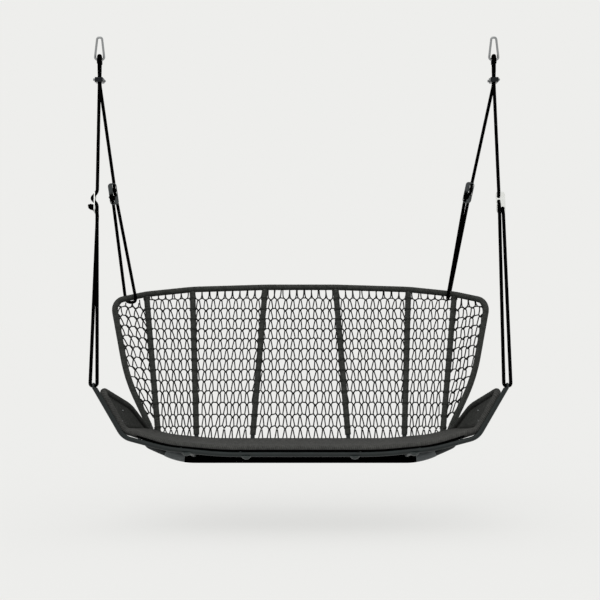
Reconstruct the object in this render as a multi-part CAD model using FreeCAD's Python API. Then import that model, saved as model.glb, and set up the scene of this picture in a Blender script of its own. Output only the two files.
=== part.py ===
import FreeCAD, Part
import math
import os

# Hanging sofa: a tube frame with a corded seat and a netted back, hung from two snap hooks.
# Millimetres. While it is modelled, X runs across the sofa, Y from the front tube to the back
# and Z up from the middle of the front tube. On export the origin moves to the hanging line,
# midway between the inner tops of the two hooks.

Vec = FreeCAD.Vector
ACROSS = Vec(1, 0, 0)
BACKWARD = Vec(0, 1, 0)
UP = Vec(0, 0, 1)

# Clearances
GAP = 0.3                   # between pieces that lie against each other
PIN_PLAY = 0.1              # round the gate pins
SLOT_PLAY = 1.0             # between a rope and the sides of an adjuster's slot
RIM_PLAY = 3.0              # between a rope and the back rim
NET_PLAY = 2.0              # between the net and the back rim, which bends inwards at the ribs

# Hanging line
HOOK_X = 890.0              # from the middle of the hanging line to each hook
HOOK_SHIFT = -17.0          # of the hanging line's middle from the sofa's middle
HANG_Y = 414.3              # from the front tube back to the hooks, over the centre of mass
HANG_Z = 1829.0             # from the front tube up to the inner top of the hooks

# Snap hooks
HOOK_WIRE = 10.0
HOOK_HEIGHT = 100.0         # between the centre lines of the bottom and the top wire
HOOK_FOOT = 44.0            # width of the centre line at the bottom
HOOK_HEAD = 21.0            # width of the centre line at the top
HOOK_FOOT_BEND = 12.0
HOOK_HEAD_BEND = 9.0
GATE_LOW = 29.0             # lower end of the gate above the bottom wire
GATE_PIN_HEIGHT = 80.0
GATE_PIN = 3.0
GATE_NOSE_GAP = 0.8
TONGUE = 4.0                # thickness of the flat tongue that holds the gate
TONGUE_INSET = 1.0          # of the tongue's edges from the sides of the wire

# Ropes and what grips them
ROPE = 15.0
SLEEVE_WALL = 2.7
SLEEVE_LEG = 22.0           # straight part of the chafe sleeve below the hook's wire
CLAMP_DROP = 93.0           # from the hook's wire down to the middle of the clamp
CLAMP_HEIGHT = 22.0
CLAMP_HALF = 18.0           # thickness of one half across the split
CLAMP_DEPTH = 54.0
CLAMP_LEAD = 6.0            # straight rope above and below the clamp
CLAMP_BEND = 36.0
CLAMP_ROUND = 2.0
BOLT = 6.0
BOLT_HEAD = 13.0
BOLT_HEAD_RISE = 7.0
NUT_HEIGHT = 7.0
NUT_FLATS = 11.0
PLATE_LENGTH = 101.0
PLATE_WIDTH = 40.0
PLATE = 4.0                 # thickness of the adjuster plates
PLATE_CORNER = 14.0
HOLE_PITCH = 33.0
HOLE_SHIFT = 16.0           # of the third hole, to the side of the first two
ROPE_BEND = 13.0            # of the rope where it passes through a plate
KNOT = 26.0
TIP_LEG = 14.7              # from the rope eye to each leg of the rope
EYE_FILL = 0.98             # share of the half width of a tight turn that its arcs take, at the hook
TURN_FILL = 0.95            # the same at the rope eyes and at the back rim
SLOT_FLAT = 0.02            # straight part left at the ends of an adjuster's slot
FRONT_PLATE_AT = 0.407      # share of the front rope's run from the clamp to the plate
REAR_PLATE_AT = 0.50
LEFT_FRONT_TURN = -90.0     # degrees that the front plate is turned about its rope
RIGHT_FRONT_TURN = 180.0
LEFT_ANCHOR_X = 805.0       # where the rear rope goes round the back rim
RIGHT_ANCHOR_X = 709.0
LEFT_RIM_WAY = -1           # side of the rim on which the rope from the hook comes down: rear 1, front -1
RIGHT_RIM_WAY = 1
LEFT_RIM_SPREAD = 30.0      # between the two rope legs along the back rim
RIGHT_RIM_SPREAD = 4.0

# Front carrier tube, from the tip to the middle
CARRIER_OD = 20.0
CARRIER_WALL = 2.0
TIP_X, TIP_Z = 869.0, 288.0
KNEE_X, KNEE_Z = 744.0, 72.0
KNEE_BEND = 75.0
HIP_X, HIP_Z = 560.0, 23.0
HIP_BEND = 600.0
FLAT_X = 330.0
FLAT_BEND = 1400.0
EYE_WALL = 3.5
EYE_BORE = 20.0
EYE_WIDTH = 8.0
EYE_NECK = 15.0             # diameter of the neck that plugs into the carrier tube
EYE_PLUG = 25.0             # length of the neck inside the carrier tube

# Seat frame tube and its cord winding
SEAT_OD = 22.0
SEAT_WALL = 2.0
WINDING = 2.7               # thickness of the cord wound on the seat tube
SEAT_Y = 20.0               # of the front run
SEAT_FLAT_Z = 23.0
SEAT_HIP_Z = 44.0
SEAT_KNEE_X, SEAT_KNEE_Z = 745.0, 102.0
SEAT_KNEE_BEND = 60.0
WING_X, WING_Z = 842.0, 275.0
WING_BEND = 28.0
WING_SIDE_X, WING_SIDE_Y, WING_SIDE_Z = 757.0, 290.0, 180.0
WING_SIDE_BEND = 500.0
REAR_Y = 552.0
REAR_X, REAR_CORNER_Y, REAR_Z = 702.0, 522.0, 50.0
REAR_BEND = 40.0
REAR_HIP_X, REAR_HIP_Y, REAR_HIP_Z = 600.0, 546.0, 18.0
REAR_HIP_BEND = 300.0
REAR_FLAT_X, REAR_FLAT_Z = 400.0, -1.0
REAR_FLAT_BEND = 900.0
CREASE_OD = 16.0            # rails under the folds between seat and wings
CREASE_WALL = 1.5
COVER = 5.0                 # thickness of the corded covers
COVER_RISE = 7.0            # of the covers' middle above the tubes' centre lines
WING_SECTIONS = (0.0, 0.25, 0.5, 0.75, 0.97)  # shares of a wing cover's length

# Lower cross tube
CROSS_OD = 28.0
CROSS_WALL = 2.0
CROSS_Y = 430.0
CROSS_FLAT_X, CROSS_FLAT_Z = 543.0, -75.0
CROSS_FLAT_BEND = 500.0
CROSS_END_X, CROSS_END_Z = 695.0, -6.0
CROSS_END_BEND = 36.0

# Back: a flat middle, folded forward at the outer two ribs of each side
RECLINE = 0.3286            # backward per height
FOLD_2, FOLD_3 = 0.15, 0.55  # forward per width beyond the second and the third rib
RIB_OD = 20.0
RIB_WALL = 2.0
RIB_BEND = 70.0
RIB_COPE = 2.0              # depth to which a rib sits into the cross tube
RIB_ROUNDS = 3              # repeats in which a rib's width and its knee settle
RIB_FOOT_X = (223.0, 482.0, 655.0)
RIB_HEAD_X = (169.0, 520.0, 737.0)
RIB_HEAD_Z = (710.0, 699.5, 676.5)
RIM_OD = 26.0
RIM_WALL = 2.0
RIM_FOOT_X, RIM_FOOT_Z = 690.0, 50.0
RIM_WAIST_X, RIM_WAIST_Z = 803.0, 288.0
RIM_WAIST_BEND = 700.0
RIM_CORNER_X, RIM_CORNER_Z = 880.0, 643.0
RIM_CORNER_BEND = 65.0
RIM_HEAD_BEND = (1500.0, 350.0, 90.0)

# Net
NET = 4.0                   # thickness of the net
NET_CORD = 5.0              # width of the cord left between two gaps
NET_FOOT = 22.0             # height of the net's lower edge above the front tube
NET_WING_FOOT = 85.0        # the same where the outermost panel meets the rim
NET_ROWS = 14
NET_LOOPS = (9, 10, 6, 5)   # loops across the panels, from the middle panel outwards
# Outline of one gap of the net: shares of its column's width and of its row's height
NET_GAP = ((0.5, 0.93), (0.72, 0.80), (0.90, 0.24), (0.74, 0.06),
           (0.26, 0.06), (0.10, 0.24), (0.28, 0.80))

# Fasteners
STANDOFF = 14.0
STANDOFF_ASIDE = 24.0       # from a rib out to the standoff beside it
BOSS = 40.0
BOSS_RISE = 11.0
BOSS_SEAT = 5.0             # height to which a boss embraces the carrier tube
BOSSED_RIBS = 2             # the middle ribs of each side have bosses
SCREW_HEAD = 9.0
SCREW_AT = ((0.08, 0.17), (0.29, 0.58))  # on a wing: share of its length, share of its height

HOOK_WIRE_Z = HANG_Z + HOOK_WIRE / 2 - HOOK_HEIGHT
SLEEVE_OD = ROPE + 2 * GAP + 2 * SLEEVE_WALL
ROLL_OD = SEAT_OD + 2 * GAP + 2 * WINDING
RIM_CLEAR = (RIM_OD + ROPE) / 2 + RIM_PLAY
BACK_SLANT = math.sqrt(1 + RECLINE ** 2)
BACK_Y = REAR_Y - RECLINE * REAR_FLAT_Z + ((ROLL_OD + RIB_OD) / 2 + 2 * GAP) * BACK_SLANT
SIDES = (("left", -1), ("right", 1))


def flip(point):
    """The same point on the other side of the sofa."""
    return Vec(-point.x, point.y, point.z)


def both_ways(half):
    """A run from one side to the other, from the points of its right half, outermost first."""
    return [flip(point) for point in half] + half[::-1]


def unit(vector):
    return Vec(vector).normalize()


def blend(a, b, share):
    return a + (b - a) * share


def route(points, radii):
    """Straight runs through the points, joined by tangent arcs of the given radii."""
    edges = []
    start = points[0]
    for before, corner, after, radius in zip(points, points[1:], points[2:], radii):
        back = unit(before - corner)
        ahead = unit(after - corner)
        half_angle = back.getAngle(ahead) / 2
        reach = radius / math.tan(half_angle)
        inset = radius / math.sin(half_angle) - radius
        enter = corner + back * reach
        leave = corner + ahead * reach
        edges.append(Part.LineSegment(start, enter).toShape())
        edges.append(Part.Arc(enter, corner + unit(back + ahead) * inset, leave).toShape())
        start = leave
    edges.append(Part.LineSegment(start, points[-1]).toShape())
    return Part.Wire(edges)


def bar(path, diameter):
    """A round bar along a path."""
    first = path.Edges[0]
    circle = Part.Circle(first.firstVertex().Point, first.tangentAt(first.FirstParameter), diameter / 2)
    return path.makePipeShell([Part.Wire(circle.toShape())], True, False)


def tube(path, outside, wall):
    return bar(path, outside).cut(bar(path, outside - 2 * wall))


def rod(start, end, diameter):
    return Part.makeCylinder(diameter / 2, (end - start).Length, start, unit(end - start))


def at_height(line, z):
    """The point of a straight line, given by two points, at a height."""
    low, high = line
    return blend(low, high, (z - low.z) / (high.z - low.z))


def at_depth(line, y):
    front, rear = line
    return blend(front, rear, (y - front.y) / (rear.y - front.y))


def at_width(points, x):
    """The point at a width on a run of straight lines with rising widths."""
    for a, b in zip(points, points[1:]):
        if a.x <= x <= b.x:
            return blend(a, b, (x - a.x) / (b.x - a.x))


def largest(shape):
    """The main solid that a cut leaves, without its crumbs."""
    return max(shape.Solids, key=lambda solid: solid.Volume)


def mirrored(shape):
    return shape.mirror(Vec(), ACROSS)


def pair(half):
    """A piece that runs on across the middle, from its right half."""
    return half.fuse(mirrored(half)).removeSplitter()


def loft(sections):
    wires = [Part.makePolygon(section + section[:1]) for section in sections]
    return Part.makeLoft(wires, True, True)


nodes = {}


# Snap hooks
def hook_side(z):
    """Half the width of a hook's centre line at a height above its bottom wire."""
    return HOOK_FOOT / 2 + (HOOK_HEAD - HOOK_FOOT) / 2 * z / HOOK_HEIGHT


def make_hooks():
    """Pear-shaped wire hooks, open on the side towards the middle, where a gate closes them."""

    def place(out, z):
        return Vec(out, 0, z)

    nose_z = GATE_LOW - GATE_NOSE_GAP
    knuckle = HOOK_WIRE / 2 + 2 * GAP
    end_z = GATE_PIN_HEIGHT + knuckle
    pin_place = place(-hook_side(GATE_PIN_HEIGHT), GATE_PIN_HEIGHT)
    wire = route(
        [
            place(-hook_side(nose_z), nose_z),
            place(-HOOK_FOOT / 2, 0),
            place(HOOK_FOOT / 2, 0),
            place(HOOK_HEAD / 2, HOOK_HEIGHT),
            place(-HOOK_HEAD / 2, HOOK_HEIGHT),
            place(-hook_side(end_z), end_z),
        ],
        [HOOK_FOOT_BEND, HOOK_FOOT_BEND, HOOK_HEAD_BEND, HOOK_HEAD_BEND],
    )
    above = place(-hook_side(end_z + TONGUE), end_z + TONGUE)
    tongue_half = HOOK_WIRE / 2 - TONGUE_INSET
    edge = unit(above - pin_place).cross(BACKWARD) * tongue_half
    web = Part.Face(Part.makePolygon([
        pin_place - edge, pin_place + edge, above + edge, above - edge, pin_place - edge,
    ])).extrude(BACKWARD * TONGUE)
    knob = Part.makeCylinder(tongue_half, TONGUE, pin_place, BACKWARD)
    tongue = web.fuse(knob)
    tongue.translate(BACKWARD * (-TONGUE / 2))
    pin_front = pin_place - BACKWARD * (HOOK_WIRE / 2)
    pin = Part.makeCylinder(GATE_PIN / 2, HOOK_WIRE, pin_front, BACKWARD)
    body = bar(wire, HOOK_WIRE).fuse(tongue).removeSplitter().cut(pin)

    low = place(-hook_side(GATE_LOW), GATE_LOW)
    axis = unit(pin_place - low)
    crown = Part.makeCylinder(HOOK_WIRE / 2, HOOK_WIRE, pin_front, BACKWARD)
    crown = crown.common(rod(low, pin_place + axis * HOOK_WIRE, HOOK_WIRE))
    slot_low = pin_place - axis * (knuckle + GAP)
    slot = Part.makeBox(HOOK_WIRE * 2, TONGUE + 2 * GAP, HOOK_WIRE * 3)
    slot.translate(Vec(-HOOK_WIRE, -TONGUE / 2 - GAP, 0))
    slot.Placement = FreeCAD.Placement(slot_low, FreeCAD.Rotation(UP, axis)).multiply(slot.Placement)
    bore = Part.makeCylinder(GATE_PIN / 2 + PIN_PLAY, HOOK_WIRE, pin_front, BACKWARD)
    gate = rod(low, pin_place, HOOK_WIRE).fuse(crown).removeSplitter().cut(slot).cut(bore)

    for side, sign in SIDES:
        for name, shape in (("hook_body", body), ("gate_pin", pin), ("gate", gate)):
            piece = shape.copy() if sign > 0 else mirrored(shape)
            piece.translate(Vec(HOOK_SHIFT + sign * HOOK_X, HANG_Y, HOOK_WIRE_Z))
            nodes["%s_%s" % (side, name)] = piece


# Front carrier tube with a rope eye at each tip
def carrier_points():
    return [
        Vec(TIP_X, 0, TIP_Z),
        Vec(KNEE_X, 0, KNEE_Z),
        Vec(HIP_X, 0, HIP_Z),
        Vec(FLAT_X, 0, 0),
    ]


def make_carrier():
    half = carrier_points()
    lean = unit(half[1] - half[0])
    eye_radius = EYE_BORE / 2 + EYE_WALL
    tube_end = half[0] + lean * (eye_radius + GAP)
    bends = [KNEE_BEND, HIP_BEND, FLAT_BEND]
    path = route(both_ways([tube_end] + half[1:]), bends + bends[::-1])
    nodes["front_carrier_tube"] = tube(path, CARRIER_OD, CARRIER_WALL)
    for side, sign in SIDES:
        tip = half[0]
        ring = Part.makeCylinder(eye_radius, EYE_WIDTH, tip - ACROSS * (EYE_WIDTH / 2), ACROSS)
        neck = rod(tip, tube_end + lean * EYE_PLUG, EYE_NECK)
        collar = rod(tip, tube_end, CARRIER_OD)
        bore = Part.makeCylinder(EYE_BORE / 2, 2 * CARRIER_OD, tip - ACROSS * CARRIER_OD, ACROSS)
        eye = ring.fuse([neck, collar]).removeSplitter().cut(bore)
        nodes[side + "_rope_eye"] = eye if sign > 0 else eye.mirror(Vec(), ACROSS)
    return bar(path, CARRIER_OD)


# Seat frame: one tube bent round the front, the wings and the rear, wound with cord
def seat_front():
    return [
        Vec(SEAT_KNEE_X, SEAT_Y, SEAT_KNEE_Z),
        Vec(HIP_X, SEAT_Y, SEAT_HIP_Z),
        Vec(FLAT_X, SEAT_Y, SEAT_FLAT_Z),
    ]


def seat_rear():
    return [
        Vec(REAR_X, REAR_CORNER_Y, REAR_Z),
        Vec(REAR_HIP_X, REAR_HIP_Y, REAR_HIP_Z),
        Vec(REAR_FLAT_X, REAR_Y, REAR_FLAT_Z),
    ]


WING_TIP = Vec(WING_X, SEAT_Y, WING_Z)
WING_SIDE = Vec(WING_SIDE_X, WING_SIDE_Y, WING_SIDE_Z)


def seat_half_path():
    front = seat_front()
    rear = seat_rear()
    points = [Vec(0, SEAT_Y, SEAT_FLAT_Z)] + front[::-1] + [WING_TIP, WING_SIDE] + rear
    points.append(Vec(0, REAR_Y, REAR_FLAT_Z))
    bends = [FLAT_BEND, HIP_BEND, SEAT_KNEE_BEND, WING_BEND, WING_SIDE_BEND]
    bends += [REAR_BEND, REAR_HIP_BEND, REAR_FLAT_BEND]
    return route(points, bends)


def make_seat_frame():
    """Makes the tube and its winding, and returns the room that the wound tube takes."""
    path = seat_half_path()
    nodes["seat_frame_tube"] = pair(tube(path, SEAT_OD, SEAT_WALL))
    winding = bar(path, ROLL_OD).cut(bar(path, SEAT_OD + 2 * GAP))
    nodes["seat_winding"] = pair(winding)
    return pair(bar(path, ROLL_OD + 2 * GAP))


def slope(run):
    """Fall per width at the outer end of a run."""
    return (run[0].z - run[1].z) / (run[0].x - run[1].x)


CREASE = (seat_front()[0], seat_rear()[0])
COVER_LOW = COVER_RISE - COVER / 2
COVER_HIGH = COVER_RISE + COVER / 2
CREASE_SLANT = math.sqrt(1 + max(slope(seat_front()), slope(seat_rear())) ** 2)
CREASE_DROP = UP * ((CREASE_OD / 2 + 2 * GAP) * CREASE_SLANT - COVER_LOW)
CREASE_RAIL = (CREASE[0] - CREASE_DROP, CREASE[1] - CREASE_DROP)


def make_crease_rails(roll_room):
    path = route(CREASE_RAIL, [])
    rail = largest(tube(path, CREASE_OD, CREASE_WALL).cut(roll_room))
    nodes["left_crease_rail"] = mirrored(rail)
    nodes["right_crease_rail"] = rail
    room = bar(path, CREASE_OD + 2 * GAP)
    return room.fuse(mirrored(room))


def make_seat_cover(roll_room):
    """The corded seat: ruled strips between the front roll and the rear rail."""
    sections = []
    for near, far in zip(both_ways(seat_front()), both_ways(seat_rear())):
        low, high = UP * COVER_LOW, UP * COVER_HIGH
        sections.append([near + low, far + low, far + high, near + high])
    nodes["seat_cover"] = largest(loft(sections).cut(roll_room))


def wing_line(share):
    """Fold and top edge of the right wing cover at a share of its length."""
    fold = blend(CREASE[0], CREASE[1], share) + UP * (COVER_HIGH + GAP)
    bend_share = (WING_SIDE_Y - SEAT_Y) / (REAR_CORNER_Y - SEAT_Y)
    if share < bend_share:
        return fold, blend(WING_TIP, WING_SIDE, share / bend_share)
    return fold, blend(WING_SIDE, CREASE[1], (share - bend_share) / (1 - bend_share))


def make_wing_covers(roll_room):
    """The corded wings: leaf-shaped panels between the folds and the wings' top edges."""
    sections = []
    for share in WING_SECTIONS:
        fold, edge = wing_line(share)
        sections.append([fold, fold + ACROSS * COVER, edge + ACROSS * COVER, edge])
    cover = largest(loft(sections).cut(roll_room))
    nodes["left_wing_cover"] = mirrored(cover)
    nodes["right_wing_cover"] = cover
    heads = []
    for along, high in SCREW_AT:
        fold, edge = wing_line(along)
        heads.append(largest(Part.makeSphere(SCREW_HEAD / 2, blend(fold, edge, high)).cut(cover)))
    nodes["wing_screws"] = Part.makeCompound(heads + [mirrored(head) for head in heads])


# Lower cross tube
def cross_points():
    return [
        at_depth(CREASE_RAIL, CROSS_Y),
        Vec(CROSS_END_X, CROSS_Y, CROSS_END_Z),
        Vec(CROSS_FLAT_X, CROSS_Y, CROSS_FLAT_Z),
    ]


def make_cross_tube(rail_room):
    bends = [CROSS_END_BEND, CROSS_FLAT_BEND]
    path = route(both_ways(cross_points()), bends + bends[::-1])
    nodes["lower_cross_tube"] = largest(tube(path, CROSS_OD, CROSS_WALL).cut(rail_room))
    return bar(path, CROSS_OD)


# Back: rim, ribs and net
def rib_x(index, z):
    return RIB_FOOT_X[index] + (RIB_HEAD_X[index] - RIB_FOOT_X[index]) * z / RIB_HEAD_Z[index]


def back(x, z):
    """The point of the back's folded surface at a width and a height on the right side."""
    forward = FOLD_2 * max(0.0, x - rib_x(1, z)) + FOLD_3 * max(0.0, x - rib_x(2, z))
    return Vec(x, BACK_Y + RECLINE * z - forward, z)


RIB_HEADS = [back(x, z) for x, z in zip(RIB_HEAD_X, RIB_HEAD_Z)]
RIM_CORNER = back(RIM_CORNER_X, RIM_CORNER_Z)


def make_rim(roll_room):
    """Makes the rim, and returns its bar and the room that it takes."""
    half = [back(RIM_FOOT_X, RIM_FOOT_Z), back(RIM_WAIST_X, RIM_WAIST_Z), RIM_CORNER] + RIB_HEADS[::-1]
    bends = [RIM_WAIST_BEND, RIM_CORNER_BEND] + list(RIM_HEAD_BEND[::-1])
    path = route(both_ways(half), bends + bends[::-1])
    nodes["back_rim"] = largest(tube(path, RIM_OD, RIM_WALL).cut(roll_room))
    return bar(path, RIM_OD), bar(path, RIM_OD + 2 * GAP)


def rib_points(index):
    """From the carrier under the seat, over the cross tube and up the back to the rim."""
    head = RIB_HEADS[index]
    foot = back(rib_x(index, 0), 0)
    lean = (head.y - foot.y) / head.z
    x = foot.x
    for _ in range(RIB_ROUNDS):
        front_z = at_width(both_ways(carrier_points()), x).z
        cross_z = at_width(both_ways(cross_points()), x).z + (CROSS_OD + RIB_OD) / 2 - RIB_COPE
        fall = (cross_z - front_z) / CROSS_Y
        knee_y = (foot.y + lean * front_z) / (1 - lean * fall)
        knee_z = front_z + fall * knee_y
        x = rib_x(index, knee_z)
    front_y = CARRIER_OD / 4
    return [Vec(x, front_y, front_z + fall * front_y), Vec(x, knee_y, knee_z), head]


def make_ribs(carrier, cross, rim):
    """Makes the ribs, coped to the tubes that they meet, and returns their bars."""
    bars = []
    for index in range(len(RIB_FOOT_X)):
        path = route(rib_points(index), [RIB_BEND])
        rib = largest(tube(path, RIB_OD, RIB_WALL).cut(carrier.fuse([cross, rim])))
        nodes["right_rib_%d" % (index + 1)] = rib
        nodes["left_rib_%d" % (index + 1)] = mirrored(rib)
        bars.append(bar(path, RIB_OD))
    return bars


def inset(points, distances):
    """A flat outline, counterclockwise, with each edge moved inwards by its own distance."""
    lines = []
    for a, b, distance in zip(points, points[1:] + points[:1], distances):
        along = unit(b - a)
        lines.append((a + Vec(-along.y, along.x, 0) * distance, along))
    corners = []
    for (p, d), (q, e) in zip(lines[-1:] + lines[:-1], lines):
        cross = d.x * e.y - d.y * e.x
        reach = ((q.x - p.x) * e.y - (q.y - p.y) * e.x) / cross
        corners.append(p + d * reach)
    return corners


def net_panel(corners, margins, left_edge, right_edge, loops):
    """A flat net between tubes: rows of drop-shaped loops in one holed face."""
    origin = corners[0]
    right = unit(corners[1] - origin)
    normal = unit(right.cross(corners[-1] - origin))
    rise = normal.cross(right)
    flat = [Vec((c - origin).dot(right), (c - origin).dot(rise), 0) for c in corners]
    outline = inset(flat, margins)
    hole_room = inset(flat, [margin + NET_CORD / 2 for margin in margins])
    lows, highs = [hole_room[i] for i in left_edge], [hole_room[i] for i in right_edge]

    def along(points, share):
        return at_rise(points, points[0].y + (points[-1].y - points[0].y) * share)

    def solid_point(point):
        return origin + right * point.x + rise * point.y

    wires = [Part.makePolygon([solid_point(point) for point in outline + outline[:1]])]
    for row in range(NET_ROWS):
        for column in range(loops):
            drop = []
            for s, t in NET_GAP:
                share = (row + t) / NET_ROWS
                drop.append(blend(along(lows, share), along(highs, share), (column + s) / loops))
            wires.append(Part.makePolygon([solid_point(point) for point in drop + drop[:1]]))
    sheet = Part.Face(wires).extrude(normal * NET)
    sheet.translate(normal * (-NET / 2))
    return sheet


def at_rise(points, y):
    """The point of a flat run of straight lines at a rise."""
    for a, b in zip(points, points[1:]):
        if y <= b.y or b is points[-1]:
            return blend(a, b, (y - a.y) / (b.y - a.y))


def make_nets(rim_room, rope_rooms):
    rib_gap = RIB_OD / 2 + GAP
    rim_gap = RIM_OD / 2 + NET_PLAY
    feet = [back(rib_x(index, NET_FOOT), NET_FOOT) for index in range(len(RIB_FOOT_X))]
    middle = [flip(feet[0]), feet[0], RIB_HEADS[0], flip(RIB_HEADS[0])]
    margins = [0.0, rib_gap, rim_gap, rib_gap]
    nodes["net_1"] = net_panel(middle, margins, (0, 3), (1, 2), NET_LOOPS[0])
    panels = []
    for index in range(len(feet) - 1):
        corners = [feet[index], feet[index + 1], RIB_HEADS[index + 1], RIB_HEADS[index]]
        panels.append(net_panel(corners, margins, (0, 3), (1, 2), NET_LOOPS[index + 1]))
    waist = back(RIM_WAIST_X, RIM_WAIST_Z)
    rim_low = at_height((back(RIM_FOOT_X, RIM_FOOT_Z), waist), NET_WING_FOOT)
    outer = [feet[-1], rim_low, waist, RIM_CORNER, RIB_HEADS[-1]]
    margins = [0.0, rim_gap, rim_gap, rim_gap, rib_gap]
    panels.append(largest(net_panel(outer, margins, (0, 4), (1, 2, 3), NET_LOOPS[3]).cut(rim_room)))
    for index, panel in enumerate(panels):
        nodes["right_net_%d" % (index + 2)] = panel
        nodes["left_net_%d" % (index + 2)] = mirrored(panel)
    for (side, _), room in zip(SIDES, rope_rooms):
        for number in (len(panels), len(panels) + 1):
            name = side + "_net_%d" % number
            nodes[name] = largest(nodes[name].cut(room))


# Ropes, from the front stopper knot over the hook to the rear stopper knot
def plate_frame(low, high, share, turn):
    """Place and axes of an adjuster plate on the straight rope between two points."""
    along = unit(high - low)
    facing = unit(BACKWARD - along * along.dot(BACKWARD))
    facing = FreeCAD.Rotation(along, turn).multVec(facing)
    aside = along.cross(facing)
    return blend(high, low, share), along, aside, facing


PLATE_OFF = (ROPE + PLATE) / 2 + 4 * GAP
KNOT_OFF = PLATE_OFF + PLATE / 2 + GAP + KNOT / 2


def plate_crossings(frame):
    """Rope points at a plate, upwards: knot and third hole, then second and first hole."""
    place, along, aside, facing = frame
    third = place + aside * HOLE_SHIFT - along * (HOLE_PITCH + PLATE_OFF)
    knot = third + (along - facing) * KNOT_OFF
    through = [
        place - along * PLATE_OFF,
        place + along * PLATE_OFF - facing * (2 * PLATE_OFF),
        place + along * (HOLE_PITCH - PLATE_OFF) - facing * (2 * PLATE_OFF),
        place + along * (HOLE_PITCH + PLATE_OFF),
    ]
    return knot, third, through


def make_plate(frame):
    place, along, aside, facing = frame
    centre = place + aside * (HOLE_SHIFT / 2) - facing * PLATE_OFF

    def oblong(middle, length, width, corner, thickness):
        block = Part.makeBox(width, length, thickness, Vec(-width / 2, -length / 2, -thickness / 2))
        upright = [edge for edge in block.Edges if abs(edge.tangentAt(0).z) > 0.5]
        block = block.makeFillet(corner, upright)
        turn = FreeCAD.Rotation(along.cross(facing), along, facing, "ZYX")
        block.Placement = FreeCAD.Placement(middle, turn)
        return block

    plate = oblong(centre, PLATE_LENGTH, PLATE_WIDTH, PLATE_CORNER, PLATE)
    slot_width = ROPE + 2 * SLOT_PLAY
    slot_length = ROPE * math.sqrt(2) + PLATE + 2 * SLOT_PLAY
    shifts = ((HOLE_PITCH, 0.0), (0.0, 0.0), (-HOLE_PITCH, HOLE_SHIFT))
    for up, side in shifts:
        middle = place + along * up + aside * side - facing * PLATE_OFF
        plate = plate.cut(oblong(middle, slot_length, slot_width, (slot_width - SLOT_FLAT) / 2, 3 * PLATE))
    return plate


def rim_anchor(sign, x):
    """Where a rear rope goes round the back rim, and the rim's way there."""
    heads = RIB_HEADS + [RIM_CORNER]
    inner, outer = [(a, b) for a, b in zip(heads, heads[1:]) if a.x <= x][-1]
    anchor = blend(inner, outer, (x - inner.x) / (outer.x - inner.x))
    rail = unit(outer - inner)
    return (anchor, rail) if sign > 0 else (flip(anchor), flip(rail))


def rail_turn(frame, anchor, rail, rim_way, spread):
    """Two rope corners under the back rim: under the rope from the hook, then on the other side."""
    place, along, aside, facing = frame
    if rail.dot(aside) < 0:
        rail = rail * -1
    lift = unit(along - rail * along.dot(rail))
    away = lift.cross(rail)
    if away.y * rim_way < 0:
        away = away * -1
    low = anchor - lift * RIM_CLEAR
    reach = away * RIM_CLEAR - rail * (spread / 2)
    return low + reach, low - reach


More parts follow.
